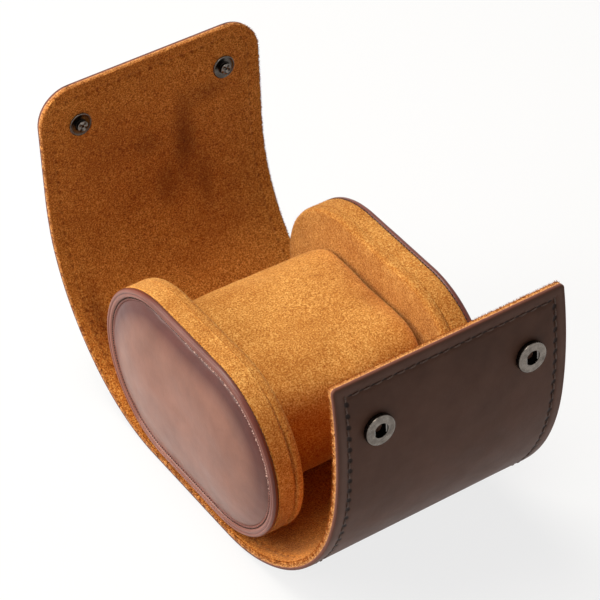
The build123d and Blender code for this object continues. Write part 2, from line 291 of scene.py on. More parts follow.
def hide(name, dark, light, rough, specular=0.5, coat=0.0, edge=None, frayed=None, with_painted_shade=False):
    """Smooth finished leather: fine pores, faint mottling and uneven gloss. edge paints its cut edge, paints light
    onto the bulged strip beside it and sinks needle holes with painted shade in them; the shade flag paints shade
    where the attribute marks it; and frayed shows raw hide."""
    m = Material(name)
    mottle = m.noise(70.0, 4.0, 0.6)
    colour = m.ramp(mottle, (0.32, dark), (0.70, light))
    pores = m.add("TexVoronoi", {"Scale": 1500.0, "Vector": m.place}, "Distance")
    normal = m.bump(m.noise(160.0, 3.0, 0.5), 0.12, 0.0008, m.bump(pores, 0.10, 0.0002))
    if edge:
        # painted light: the bulged strip between the cut edge and the stitches is lightened as if it caught the light
        border = m.ramp(m.bell(m.attribute("seam_across"), -2.1, 0.65), (0.1, BLACK), (0.9, GREY))
        painted_lit_strip = m.ramp(mottle, (0.3, (0.130, 0.068, 0.052)), (0.7, (0.165, 0.090, 0.070)))
        colour = m.mix("MIX", border, colour, painted_lit_strip)
        holes = m.needle_holes()
        # painted shade in the needle holes, which the bump below also sinks
        colour = m.tint(colour, holes, (0.14, WHITE), (0.5, (0.16, 0.13, 0.12)))
        normal = m.bump(m.math("MULTIPLY", holes, -1.0), 1.0, 0.00015, normal)
        cut = m.attribute("cut_edge")
        dark_paint = tuple(0.36 * c for c in edge)
        paint = m.ramp(cut, (0.30, dark_paint), (0.62, dark_paint), (0.92, edge))
        colour = m.mix("MIX", m.ramp(cut, (0.04, BLACK), (0.20, WHITE)), colour, paint)
    if with_painted_shade:
        # painted shade where the attribute marks it
        colour = m.tint(colour, m.attribute("burnish"), (0.0, WHITE), (1.0, (0.36, 0.135, 0.09)))
    if frayed:
        bits = m.math("MULTIPLY", m.noise(1400.0, 3.0, 0.7), m.attribute("raw"))
        colour = m.mix("MIX", m.ramp(bits, (0.44, BLACK), (0.56, WHITE)), colour, (*frayed, 1))
        normal = m.bump(bits, 0.8, 0.0005, normal)
    gloss = m.gloss(m.noise(130.0, 3.0), rough - 0.06, rough + 0.10)
    return m.shaded(colour, normal, gloss, Specular_IOR_Level=specular, Coat_Weight=coat, Coat_Roughness=0.18)


def thread(name, dark, light):
    """Waxed sewing thread, twisted along its length."""
    m = Material(name)
    twist = m.noise(2600.0, 2.0)
    return m.shaded(m.ramp(twist, (0.35, dark), (0.7, light)), m.bump(twist, 0.4, 0.0002), 0.7)


def plated(name, dark, light, rough):
    """Dark plated steel with a satin wear pattern, darkened where its attribute marks it: painted shade in holes,
    tubes and gaps, and painted dark reflection on walls and dishes.
    """
    m = Material(name)
    wear = m.noise(420.0, 3.0, 0.6)
    colour = m.ramp(wear, (0.2, dark), (0.8, light))
    # painted shade and painted dark reflection where the attribute marks it
    colour = m.tint(colour, m.attribute("bore"), (0.0, WHITE), (1.0, (0.06, 0.055, 0.05)))
    return m.shaded(colour, m.bump(wear, 0.05, 0.0003), m.gloss(wear, rough - 0.08, rough + 0.12), Metallic=1.0)


def board_stock(name):
    """Grey board with flecks."""
    m = Material(name)
    flecks = m.noise(800.0, 3.0)
    colour = m.ramp(flecks, (0.3, (0.20, 0.17, 0.14)), (0.7, (0.34, 0.30, 0.25)))
    return m.shaded(colour, m.bump(flecks, 0.2, 0.0003), 0.9)


suede_tan = suede("suede_tan", (0.43, 0.140, 0.024), (0.69, 0.305, 0.068), (0.91, 0.55, 0.175))
wrap_suede = suede("wrap_suede", (0.32, 0.086, 0.013), (0.66, 0.225, 0.037), (0.90, 0.43, 0.100), sewn=True)
wrap_leather = hide(
    "wrap_leather", (0.086, 0.040, 0.026), (0.118, 0.056, 0.038), 0.50, specular=0.12, edge=(0.38, 0.145, 0.100)
)
pad_leather = hide("pad_leather", (0.192, 0.074, 0.045), (0.272, 0.110, 0.069), 0.36, 0.45, 0.07, with_painted_shade=True)
rim_leather = hide("rim_leather", (0.225, 0.076, 0.049), (0.300, 0.110, 0.073), 0.32, 0.36, 0.06, with_painted_shade=True)
seam_leather = hide(
    "seam_leather", (0.170, 0.052, 0.036), (0.230, 0.078, 0.055), 0.45, specular=0.45, frayed=(0.72, 0.46, 0.38)
)
dark_thread = thread("dark_thread", (0.020, 0.011, 0.009), (0.060, 0.032, 0.024))
brown_thread = thread("brown_thread", (0.050, 0.026, 0.018), (0.135, 0.074, 0.054))
gunmetal = plated("gunmetal", (0.080, 0.068, 0.058), (0.27, 0.235, 0.205), 0.24)
spring_wire = plated("spring_wire", (0.16, 0.15, 0.14), (0.28, 0.26, 0.24), 0.3)
grey_board = board_stock("grey_board")


# ------------------------------------------------------------ the bending wrap
def row_of_arcs(s, lengths, curls):
    """Run, rise and heading at a length s along a row of tangent arcs, each a chord of 2 r sin(turn / 2)."""
    lengths, turns = np.asarray(lengths), np.radians(curls)
    starts = np.concatenate([[0.0], np.cumsum(lengths)])
    heads = np.concatenate([[0.0], np.cumsum(turns)])
    middles = heads[:-1] + turns / 2
    chords = lengths * np.sinc(turns / 2 / np.pi)
    runs = np.concatenate([[0.0], np.cumsum(chords * np.cos(middles))])
    rises = np.concatenate([[0.0], np.cumsum(chords * np.sin(middles))])
    k = np.clip(np.searchsorted(starts, s, side="right") - 1, 0, len(lengths) - 1)
    part = s - starts[k]
    turn = turns[k] * part / lengths[k]
    chord = part * np.sinc(turn / 2 / np.pi)
    way = heads[k] + turn / 2
    return runs[k] + chord * np.cos(way), rises[k] + chord * np.sin(way), heads[k] + turn


class Side:
    """One side of the wrap: the flap (towards -Y) or the lid (towards +Y)."""

    def __init__(self, name, way, lengths, curls, corner):
        self.name, self.way, self.lengths, self.curls, self.corner = name, way, lengths, curls, corner
        self.joints = np.cumsum(lengths)[:-1]
        self.total = float(np.sum(lengths))

    def point(self, x, s, depth):
        """Point at x across the wrap, s along its lining from the middle and depth into it."""
        x, s, depth = np.broadcast_arrays(x, s, depth)
        run, rise, head = row_of_arcs(s, self.lengths, self.curls)
        y = self.way * (run + depth * np.sin(head))
        return np.stack([x, y, thick + rise - depth * np.cos(head)], -1)

    def axes(self, s):
        """Unit vectors along the wrap and out of its leather, at s."""
        head = row_of_arcs(s, self.lengths, self.curls)[2]
        zero = np.zeros_like(head)
        along = np.stack([zero, self.way * np.cos(head), np.sin(head)], -1)
        out = np.stack([zero, self.way * np.sin(head), -np.cos(head)], -1)
        return along, out

    def half_width(self, s):
        """Half the width at s: full, then drawn in along the rounded corner of the free end."""
        over = np.clip(s - (self.total - self.corner), 0, self.corner)
        return wrap_half - self.corner + np.sqrt(np.maximum(self.corner**2 - over**2, 0))

    def inset(self, x, s):
        """Distance from the nearest edge of the rounded strip."""
        qx = np.abs(x) - (wrap_half - self.corner)
        qs = s - (self.total - self.corner)
        outside = np.hypot(np.maximum(qx, 0), np.maximum(qs, 0))
        return self.corner - np.minimum(np.maximum(qx, qs), 0) - outside

    def seam(self, inset):
        """Where a line at an inset from the edge leaves its straight, its corner's radius, and its length to the
        middle of the free end."""
        edge = max(self.corner, inset)
        bend = max(self.corner - inset, 0.0)
        return self.total - edge, bend, edge, self.total - edge + bend * np.pi / 2 + wrap_half - edge

    def along_seam(self, q, inset):
        """Place and direction at a length q along that line: straight, round the corner, then across the end."""
        straight, bend, edge, _ = self.seam(inset)
        turn = np.clip((q - straight) / max(bend, 1e-6), 0, np.pi / 2)
        across = np.maximum(q - straight - bend * np.pi / 2, 0)
        x = wrap_half - edge + bend * np.cos(turn) - across
        return x, np.minimum(q, straight) + bend * np.sin(turn), -np.sin(turn), np.cos(turn)

    def seam_count(self, x, s):
        """Number of stitches from the middle of the wrap to the place on the seam next to a point."""
        straight, bend, edge, length = self.seam(stitch_inset)
        dx, ds = np.abs(x) - (wrap_half - edge), s - straight
        corner = straight + bend * np.arctan2(np.maximum(ds, 0), np.maximum(dx, 1e-9))
        across = straight + bend * np.pi / 2 - np.minimum(dx, 0)
        q = np.where(ds <= 0, s, np.where(dx <= 0, across, corner))
        return q * round(length / stitch_pitch) / length


flap = Side("flap", -1, flap_lengths, flap_curls, flap_corner)
lid = Side("lid", 1, lid_lengths, lid_curls, lid_corner)
margin = np.array(
    [0.07, 0.26, 0.56, 0.9, 1.3, 1.8, 2.4, 3.0, 3.5, 3.85, 4.1, 4.35, 4.6, 4.85, 5.1, 5.4, 5.8, 6.5, 7.6, 9.2, 11.4]
)


def columns():
    """Places across the full width, dense near both edges. The outermost three stand on the edge's wall."""
    inner = np.linspace(-32.2, 32.2, 33)
    left = -wrap_half + np.concatenate([[0, 0, 0], margin])
    return np.concatenate([left, inner, -left[::-1]])


def rows_between(start, end, free_end):
    """Places along a stretch of wrap, with close rows next to its seams. Its free end has an edge like the sides'."""
    if free_end:
        body = np.linspace(start + 0.15, end - 12.6, int((end - start) / 0.6))
        return np.concatenate([[start], body, end - margin[::-1], [end, end, end]])
    return np.concatenate([[start], np.linspace(start + 0.15, end - 0.15, int((end - start) / 0.55)), [end]])


def swell(x, s, seed, size, lengths=(55.0, 34.0, 21.0, 12.0), full=55):
    """Slow unevenness: a sum of plane waves with set directions and phases, each as high as its length over full."""
    rng = np.random.default_rng(seed)
    total = 0.0
    for length in lengths:
        turn, phase = rng.uniform(0, np.pi), rng.uniform(0, 2 * np.pi)
        total = total + np.sin(2 * np.pi * (x * np.cos(turn) + s * np.sin(turn)) / length + phase) * length / full
    return size * total


def ragged_edge(side, hand, s):
    """How far the napped edge stands out or in along the sides: sines of five lengths, not alike on the two hands."""
    total = 0.0
    for k, length in enumerate((7.1, 4.3, 2.9, 2.1, 1.6)):
        total = total + np.sin(2 * np.pi * s / length + 1.7 * k + 2.1 * hand * (k + 1) + side.way)
    return 0.09 * total * unit((side.total - side.corner - s) / 4)


def nap_smudges_and_shade(side, x, s):
    """Where the suede is darker: a broad bell over the bottom, which is painted shade under the cushion, and small
    ones at a few places of the lid where the nap has been pushed over, by their distance from its free end."""
    # painted shade over the bottom, under the cushion
    total = 1.1 * np.exp(-((x / 36) ** 2) - (s / 46) ** 2)
    if side.name == "flap":
        return total
    for across, from_end, wide, long, strength in (
        (12.0, 42.0, 4.5, 17.0, 1.0), (3.0, 56.0, 5.0, 9.0, 0.8), (19.0, 62.0, 4.0, 12.0, 0.7),
        (-4.0, 36.0, 7.0, 6.0, 0.6), (-38.0, 98.0, 5.0, 22.0, 0.9), (24.0, 24.0, 9.0, 5.0, 0.5),
    ):
        total = total + strength * np.exp(-(((x - across) / wide) ** 2) - ((s - side.total + from_end) / long) ** 2)
    return total


def skin(side, number, start, end, free_end, outer):
    """A closed skin between two seams. Its face sinks by r - sqrt(r^2 - (r - e)^2) within r of the edge, and in a
    narrow bell-shaped channel along the stitches, where e is the distance from the edge."""
    c, s = columns(), rows_between(start, end, free_end)
    wall_c = np.minimum(np.arange(len(c)), np.arange(len(c))[::-1])
    wall_s = np.arange(len(s))[::-1] if free_end else np.full(len(s), 99)
    wall = np.minimum(np.minimum(wall_c[None, :], wall_s[:, None]), 2)
    s = s[:, None]
    steady = 12.0
    hold = wrap_half - steady
    squeeze = (side.half_width(s) - hold) / steady
    x = np.where(np.abs(c) > hold, np.sign(c) * (hold + (np.abs(c) - hold) * squeeze), c)
    e = np.maximum(side.inset(x, s), 0)
    face, back, r = (thick, felt_and_lining, 0.45) if outer else (0.0, felt_and_lining - 0.03, 0.55)
    sign = 1 if outer else -1
    sink = np.where(e < r, r - np.sqrt(np.maximum(r * r - (r - np.minimum(e, r)) ** 2, 0)), 0)
    channel = 0.26 * dome(e - stitch_inset - 0.1, 0.8)
    channel = channel - (0.12 * dome(e - 2.2, 1.2) if outer else 0)
    seed, size = (5, 0.035) if outer else (9, 0.09)
    uneven = unit((e - 3.0) / 8.0) * swell(x, s, seed, size, (61.0, 37.0, 23.0, 15.0), 61)
    sink = sink + channel + (np.abs(uneven) if outer else np.maximum(uneven + 0.09, 0))
    deep = abs(face - back)
    levels = np.array([deep, (deep + r) / 2, 0.0])
    depth = face - sign * np.where(wall < 2, levels[wall], sink)
    s_all = np.broadcast_to(s, x.shape)
    ragged = 0 if outer else np.exp(-e / 0.8) * ragged_edge(side, np.sign(x), s_all)
    top = side.point(x + np.sign(x) * ragged * (s_all < side.total - side.corner), s_all, depth)
    bottom = side.point(x, s_all, np.full(x.shape, back))
    cut = np.where(wall < 2, np.array([1.0, 0.62, 0.5])[wall], np.clip(0.5 - e / 1.5, 0, 0.5))
    away_from_seam = np.where(wall < 2, 9.0, e - stitch_inset)
    label = "leather" if outer else "suede"
    made = piece(
        f"{side.name}_{label}_skin_{number}",
        np.stack([top, bottom]),
        shell_faces(*x.shape),
        wrap_leather if outer else wrap_suede,
        sharp=50,
        values=[
            ("cut_edge", np.stack([cut, np.ones_like(cut)])),
            ("seam_across", np.stack([away_from_seam, np.full_like(cut, 9.0)])),
            ("seam_along", np.tile(side.seam_count(x, s_all), (2, 1, 1))),
            ("nap_lies_over", np.tile(nap_smudges_and_shade(side, x, s_all), (2, 1, 1))),
        ],
        fuzz=None if outer else edge_fringe(side, number, start, end),
    )
    return made


def edge_fringe(side, number, start, end):
    """Nap fibres along the suede's cut edge, at random places of it and at random depths."""
    rng = np.random.default_rng(100 * side.way + number + 500)
    length = side.seam(0.0)[3]
    reach = length if end > side.total - 1 else end
    q = rng.uniform(start, reach, int(38 * (reach - start)))
    x, s, tx, ts = side.along_seam(q, 0.0)
    mirror = np.where(rng.random(len(q)) < 0.5, -1.0, 1.0)
    depth = np.abs(rng.normal(0.15, 0.75, len(q)))
    line, out = side.axes(s)
    outward = (mirror * ts)[:, None] * np.array([1.0, 0, 0]) - tx[:, None] * line
    upper = unit(1 - depth / 0.8)[:, None]
    depth = np.minimum(depth, felt_and_lining - 0.1)
    inward = 0.3 * upper[:, 0]
    root = side.point(mirror * x, s, depth) - inward[:, None] * outward
    return fibres(root, outward - upper * out * 0.9, 0.85, number + 7, 0.15)


def stitch_shape():
    """One stitch: a thread that arches out of the hide and dives back, thinner where it enters."""
    steps, sides = 9, 6
    t = np.linspace(-1, 1, steps)[:, None]
    a = np.linspace(0, 2 * np.pi, sides, endpoint=False)[None, :]
    radius = 0.27 * np.sqrt(np.maximum(1 - t**6, 0.12))
    rise = 0.12 - 0.42 * t**4
    shape = np.stack([1.12 * t + 0 * a, radius * np.cos(a), rise + radius * np.sin(a) * 0.85], -1)
    ends = np.array([[0, 1, 2, 3], [0, 3, 4, 5]])
    return shape.reshape(-1, 3), np.concatenate([ring_faces(steps, sides), ends, ends + (steps - 1) * sides])


def stitches(centre, along, out, seed, long=1.0, wide=1.0):
    """Copies of one stitch, each laid along its line and turned a little at random, as points and faces."""
    rng = np.random.default_rng(seed)
    shape, faces = stitch_shape()
    across = np.cross(out, along)
    tilt = rng.uniform(-0.03, 0.17, len(centre))[:, None]
    turned = along * np.cos(tilt) + across * np.sin(tilt)
    sideways = np.cross(out, turned)
    stretch = rng.uniform(0.9, 1.06, len(centre))[:, None, None]
    local = shape[None] * stretch * np.array([long, wide, wide])
    points = (
        centre[:, None, :]
        + local[..., :1] * turned[:, None, :]
        + local[..., 1:2] * sideways[:, None, :]
        + local[..., 2:] * out[:, None, :]
    )
    first = len(shape) * np.arange(len(centre))[:, None, None]
    return points.reshape(-1, 3), (faces[None] + first).reshape(-1, 4)


def joined(first, second):
    """Two sets of points and faces as one."""
    return np.concatenate([first[0], second[0]]), np.concatenate([first[1], second[1] + len(first[0])])


def sew_wrap(side, edges):
    """The seam down both sides and across the free end, cut into one object for each stretch of the wrap."""
    length = side.seam(stitch_inset)[3]
    count = round(length / stitch_pitch)
    q = (np.arange(count) + 0.5) * length / count
    x, s, tx, ts = (np.tile(part, 2) for part in side.along_seam(q, stitch_inset))
    mirror = np.repeat([1.0, -1.0], count)
    line, out = side.axes(s)
    along = (mirror * tx)[:, None] * np.array([1.0, 0, 0]) + ts[:, None] * line
    parts = []
    for number, (start, end) in enumerate(edges, start=1):
        here = (s >= start) & (s < end)
        outer = stitches(side.point(mirror * x, s, thick - 0.16)[here], along[here], out[here], number, 1.4, 1.25)
        inner = stitches(side.point(mirror * x, s, 0.60)[here], along[here], -out[here], number + 40, 1.2, 0.6)
        sewn = piece(f"{side.name}_stitching_{number}", *joined(outer, inner), brown_thread)
        parts.append(sewn)
    return parts


def blend_ends(side, number):
    """Where a joint's bend begins and ends: 9 mm each way, or less beside the short lengths and on the flat base."""
    at, reach, on_base, apart = side.joints[number - 1], 9.0, 4.0, 0.7
    before = on_base if number == 1 else min(reach, side.lengths[number - 1] / 2 - apart)
    after = min(reach, side.lengths[number] / 2 - apart)
    ends = side.point(0.0, np.array([at - before, at + after]), 1.0) * MM
    return tuple(ends[0]), tuple(ends[1])


def dress(side):
    """Skins and stitching of one side of the wrap, one set for each stretch from the middle of one length to the
    middle of the next, and on to the free end.
    """
    last = len(side.lengths) - 1
    seams = [0.0] + [side.joints[k - 1] + side.lengths[k] / 2 for k in range(1, last)] + [side.total]
    edges = list(zip(seams[:-1], seams[1:]))
    sewn = sew_wrap(side, edges)
    for number, (start, end) in enumerate(edges, start=1):
        free = number == last
        first, second = blend_ends(side, number)
        suede_skin = skin(side, number, start, end, free, outer=False)
        leather_skin = skin(side, number, start, end, free, outer=True)
        lining = f"{side.name}_panel_lining" if free else f"{side.name}_lining_{number}"
        hide_node = f"{side.name}_panel_leather" if free else f"{side.name}_leather_{number}"
        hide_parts(lining, *([f"{side.name}_panel_board"] if free else []))
        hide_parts(hide_node)
        if number == 1:
            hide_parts("base_lining", "base_board")
            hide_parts("base_leather")
        for made in (suede_skin, leather_skin, sewn[number - 1]):
            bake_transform(made)


# ------------------------------------------------------------ end pads
lap_steps = (26, 66)


def stadium(straight_steps, round_steps):
    """Middle-line place and outward direction round the pads' outline, which is a straight, a half circle, a straight
    and a half circle."""
    go = np.linspace(-pad_straight, pad_straight, straight_steps, endpoint=False)
    a = np.linspace(0, np.pi, round_steps, endpoint=False)
    middle = np.concatenate([go, np.full(round_steps, pad_straight), -go, np.full(round_steps, -pad_straight)])
    ny = np.concatenate([0 * go, np.sin(a), 0 * go, -np.sin(a)])
    nz = np.concatenate([1 + 0 * go, np.cos(a), -1 + 0 * go, -np.cos(a)])
    return middle, ny, nz


def carried(profile, sign, wander=0.0, seed=0, steps=lap_steps):
    """A profile of (distance from the middle line, distance out along X), carried round the pads' outline. wander
    moves it in and out by a few cosines round the outline, less towards the middle."""
    middle, ny, nz = stadium(*steps)
    rng = np.random.default_rng(seed)
    lap = np.linspace(0, 2 * np.pi, len(middle), endpoint=False)
    drift = sum(np.cos(k * lap + rng.uniform(0, 6.3)) / k**0.4 for k in (3, 7, 13, 22, 37, 58))
    rho, out = profile[:, :1], profile[:, 1:]
    rho = rho + wander * drift[None] * unit((rho - 20) / 14)
    y = middle[None] + ny[None] * rho
    z = pad_z + nz[None] * rho
    return np.stack([sign * (out + 0 * y), y, z], -1)


def smooth_profile(points, steps, tail=()):
    """A dense profile through a few points, by a Catmull-Rom cubic, then the corners of its tail as they are."""
    p = np.asarray(points, float)
    p = np.concatenate([[2 * p[0] - p[1]], p, [2 * p[-1] - p[-2]]])
    t = np.linspace(0, len(p) - 3, steps)
    k = np.clip(t.astype(int), 0, len(p) - 4)
    u = (t - k)[:, None]
    a, b, c, d = p[k], p[k + 1], p[k + 2], p[k + 3]
    twice = 2 * b + (c - a) * u + (2 * a - 5 * b + 4 * c - d) * u**2 + (3 * b - a - 3 * c + d) * u**3
    return np.concatenate([0.5 * twice, np.reshape(tail, (-1, 2))])


def crease(points):
    """Draw in the seam between a pad's gusset and its inner face, as a bell across X: deepest low at the front of
    the pad and filled by the nap over its top."""
    _, ny, nz = stadium(*lap_steps)
    deep = 1.4 * unit(0.25 - 0.75 * ny - 0.45 * nz) - 0.26
    pull = deep * dome(np.abs(points[..., 0]) - 36.6, 0.5)
    points[..., 1] -= ny * pull
    points[..., 2] -= nz * pull


def surface_fringe(points, per_mm2, length, seed):
    """Nap fibres scattered over a grid whose last column joins its first: a cell at random by its area, a place in it
    at random, and out along the cell's normal, which is taken away from the grid's own middle."""
    grid = np.concatenate([points, points[:, :1]], 1)
    a, b, c, d = grid[:-1, :-1], grid[:-1, 1:], grid[1:, 1:], grid[1:, :-1]
    normal = np.cross(c - a, d - b).reshape(-1, 3)
    twice = np.linalg.norm(normal, axis=1)
    rng = np.random.default_rng(seed)
    count = int(per_mm2 * twice.sum() / 2)
    cell = rng.choice(len(twice), count, p=twice / twice.sum())
    u, v = rng.random((count, 1)), rng.random((count, 1))
    a, b, c, d = (corner.reshape(-1, 3)[cell] for corner in (a, b, c, d))
    root = (1 - u) * (1 - v) * a + u * (1 - v) * b + u * v * c + (1 - u) * v * d
    out = normal[cell] / twice[cell][:, None]
    flip = np.sign(np.sum(out * (root - grid.reshape(-1, 3).mean(0)) * np.array([0, 1, 1]), 1))
    return fibres(root, out * np.where(flip == 0, 1, flip)[:, None], length, seed + 1)


def mount(made, body, slot, *nodes, fill=None):
    """Ride a finished piece on its body in place of CAD nodes."""
    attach(made, body)
    if nodes:
        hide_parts(*nodes)


def pad_face(body, sign, turn):
    """The crowned leather face, raised by slow waves and gathered a little beside its seam."""
    crown_steps = 48
    face = smooth_profile(
        [
            (0.0, 49.75), (8.0, 49.5), (14.0, 48.98), (19.0, 48.3), (23.0, 47.54), (26.0, 46.86), (28.4, 46.2),
            (30.0, 45.7), (31.1, 45.2), (31.75, 44.6),
        ],
        crown_steps,
        [(31.75, 43.9), (20.0, 43.85), (0.0, 43.85)],
    )
    points = carried(face, sign)
    crown, rho = points[:crown_steps], face[:crown_steps, :1]
    y, z = crown[..., 1], crown[..., 2]
    lift = unit((31.2 - rho) / 9.0) * swell(y, z, turn, 0.17)
    band = unit((31.6 - rho) / 1.5) * unit((rho - 22) / 8)
    pull = band * swell(y, z, turn + 9, 0.10, (9.0, 6.0, 14.0))
    crown[..., 0] += sign * (lift + 3 * pull)
    # painted shade: darker in a ring towards the face's edge, strongest at the top and fading low down
    painted_shade_mask = unit((face[:, :1] - 19.5) / 8.5) ** 1.6 * np.clip(0.72 + (points[..., 2] - pad_z) / 55, 0.15, 1)
    cover = piece(f"{body}_face", points, ring_faces, pad_leather, sharp=60, values=[("burnish", painted_shade_mask)])
    mount(cover, body, "leather_brown", f"{body}_face_leather", f"{body}_face_padding", fill=0.8)


def pad_turned_edge(body, sign, turn):
    """The ragged edge turned up round the face: a small ridge with crumbs at random, flatter low down at the lid."""
    fine = (90, 280)
    ridge = smooth_profile(
        [(32.5, 44.4), (32.35, 45.0), (32.1, 45.3), (31.75, 45.3), (31.5, 45.1), (31.35, 44.8), (31.3, 44.3)],
        12,
        [(31.4, 43.95), (32.4, 43.95)],
    )
    points = carried(ridge, sign, 0.03, turn, fine)
    rng = np.random.default_rng(turn)
    crumb = np.repeat(rng.normal(0, 1, (1, points.shape[1])), points.shape[0], 0)
    crumb = crumb + 0.6 * rng.normal(0, 1, points.shape[:2])
    top = unit((points[..., 0] * sign - 44.5) / 0.4)
    low = unit(0.5 + (points[..., 1] - 0.7 * (points[..., 2] - pad_z)).mean(0) / (2.2 * pad_radius))
    points[..., 0] += sign * top * (0.14 * crumb * (1 - 0.8 * low) - 0.17 * low)
    raw = unit(1.25 - 1.6 * low) * unit(0.75 + (points[..., 2] - pad_z) / 30)
    seam = piece(f"{body}_turned_edge", points, torus_faces, seam_leather, values=[("raw", raw)])
    mount(seam, body, "leather_brown")


def pad_piping(body, sign, turn):
    """The rolled leather rim, with painted shade in its groove, on its outer roll and over its upper front."""
    r = pad_radius
    rim = smooth_profile(
        [
            (r - 0.2, 43.75), (r + 0.12, 44.2), (r + 0.12, 44.9), (r - 0.2, 45.5), (r - 0.74, 45.84),
            (r - 1.15, 45.78), (r - 1.42, 45.55), (r - 1.7, 45.62), (r - 2.2, 45.76), (r - 2.7, 45.6),
            (r - 3.15, 45.15), (r - 3.35, 44.6), (r - 3.4, 44.2),
        ],
        52,
        [(r - 3.3, 43.82), (r - 1.6, 43.75)],
    )
    points = carried(rim, sign, 0.035, turn)
    rho = rim[:, :1]
    # painted shade in the groove, on the outer roll and, by the outline's direction, over the upper front
    painted_shade_mask = 0.5 * dome(rho - (r - 1.44), 0.2) + 0.4 * unit((rho - (r - 0.75)) / 0.5)
    _, ny, nz = stadium(*lap_steps)
    painted_shade_mask = unit(painted_shade_mask + 0.5 * unit(0.35 - 0.5 * ny + 0.4 * nz))
    piping = piece(f"{body}_piping", points, torus_faces, rim_leather, sharp=60, values=[("burnish", painted_shade_mask)])
    mount(piping, body, "leather_brown", f"{body}_rim_piping")


def pad_gusset(body, sign, turn):
    """The suede band between the rim and the inner face, with painted shade low at the front."""
    r = pad_radius
    gusset = smooth_profile(
        [
            (r - 0.5, 43.72), (r - 0.08, 43.5), (r + 0.06, 42.8), (r + 0.08, 41.2), (r + 0.04, 39.4),
            (r + 0.02, 38.0), (r - 0.02, 37.2), (r - 0.14, 36.78), (r - 0.42, 36.62),
        ],
        40,
        [(r - 2.2, 36.68), (r - 2.2, 43.72)],
    )
    points = carried(gusset, sign, 0.05, turn + 20)
    crease(points)
    fuzz = surface_fringe(points[2:36], 3.0, 0.5, turn + 30)
    # painted shade, darker low at the front
    deep = [("deep", 0.8 * unit((48 - points[..., 2]) / 32) * unit(-points[..., 1] / 30))]
    band = piece(f"{body}_gusset_suede", points, torus_faces, suede_tan, 70, deep, fuzz)
    mount(band, body, "suede_tan", f"{body}_gusset", f"{body}_foam", fill=0.9)


def pad_inner_face(body, sign, turn):
    """The suede face towards the cushion, turned over the pad's edge and dished by half a sine wave."""
    r = pad_radius
    flat = np.stack([np.linspace(r - 4.6, 0, 14), np.full(14, pad_inner_x)], -1)
    flat[:, 1] += 0.10 * np.sin(np.pi * flat[:, 0] / r)
    inner = smooth_profile(
        [
            (r - 0.42, 36.6), (r - 0.12, 36.46), (r + 0.02, 36.1), (r + 0.08, 35.3),
            (r - 0.02, 34.4), (r - 0.4, 33.6), (r - 1.2, 33.1), (r - 2.6, 32.92),
        ],
        30,
        flat,
    )
    points = carried(np.concatenate([[(0.0, 36.6), (r - 2.4, 36.6)], inner]), sign, 0.07, turn + 40)
    crease(points)
    fuzz = surface_fringe(points[3:30], 3.5, 0.5, turn + 50)
    # painted shade, darker towards the bottom
    deep = [("deep", 0.15 + 0.55 * unit((30 - points[..., 2]) / 22))]
    tray = piece(f"{body}_inner_face", points, ring_faces, suede_tan, 70, deep, fuzz)
    mount(tray, body, "suede_tan", f"{body}_inner_suede", fill=0.8)


def pad_stitching(body, sign, turn):
    """Sewing round the face, 1.05 mm apart, and round the rim, 1.6 mm apart."""
    r = pad_radius
    face_count = round((4 * pad_straight + 2 * np.pi * 31.5) / 1.05)
    face_sewing = sew_outline(face_count, sign * 45.15, 32.3, (sign * 0.8, -0.6), 70 + turn, 0.17, 1.0)
    rim_count = round((4 * pad_straight + 2 * np.pi * r) / 1.6)
    far, wide = (0.0, 0.8) if sign > 0 else (0.34, 0.5)
    rim_sewing = sew_outline(rim_count, sign * 43.7, r - far, (0.0, 1.0), 80 + turn, 0.42, wide)
    mount(piece(f"{body}_stitching", *joined(face_sewing, rim_sewing), dark_thread), body, "leather_brown")


def end_pad(word, sign):
    """One pad, from its leather face to its sewing."""
    for make in (pad_face, pad_turned_edge, pad_piping, pad_gusset, pad_inner_face, pad_stitching):
        make(f"pad_{word}", sign, 3 + sign)


def sew_outline(count, x, rho, out, seed, long, wide):
    """Stitches evenly round the pads' outline. out is their way out along X and away from the middle line."""
    place, side_y, side_z = along_outline(count, rho)
    centre = np.concatenate([np.full((count, 1), x), place], 1)
    tangent = np.stack([np.zeros(count), side_z, -side_y], -1)
    away = np.stack([np.full(count, out[0]), out[1] * side_y, out[1] * side_z], -1)
    return stitches(centre, tangent, away, seed, long, wide)


def along_outline(count, rho):
    """Evenly spaced places round the outline at a distance rho from the middle line, with the outward direction."""
    straight, half_turn = 2 * pad_straight, np.pi * rho
    q = (np.arange(count) + 0.5) * (2 * straight + 2 * half_turn) / count
    lap = straight + half_turn
    second = q >= lap
    q = np.where(second, q - lap, q)
    flip = np.where(second, -1.0, 1.0)
    angle = np.clip((q - straight) / rho, 0, np.pi)
    middle = np.minimum(q, straight) - pad_straight
    ny, nz = flip * np.sin(angle), flip * np.cos(angle)
    return np.stack([flip * middle + ny * rho, pad_z + nz * rho], -1), ny, nz


# ------------------------------------------------------------ cushion
def rounded_section(half_y, half_z, corner, steps=28, flat_steps=14):
    """A rounded rectangle, counted round from its right side."""
    a = np.linspace(0, np.pi / 2, steps, endpoint=False)
    y, z = [], []
    sides = ((1, 1, 0), (-1, 1, 1), (-1, -1, 2), (1, -1, 3))
    for sy, sz, quarter in sides:
        turn = a + quarter * np.pi / 2
        y.append(sy * (half_y - corner) + corner * np.cos(turn))
        z.append(sz * (half_z - corner) + corner * np.sin(turn))
        level = np.linspace(0, 1, flat_steps, endpoint=False)
        reach_y, reach_z = half_y - corner, half_z - corner
        if quarter % 2 == 0:
            y.append(sy * reach_y - sy * level * 2 * reach_y)
            z.append(np.full(flat_steps, sz * half_z))
        else:
            y.append(np.full(flat_steps, sy * half_y))
            z.append(sz * reach_z - sz * level * 2 * reach_z)
    return np.concatenate(y), np.concatenate(z)


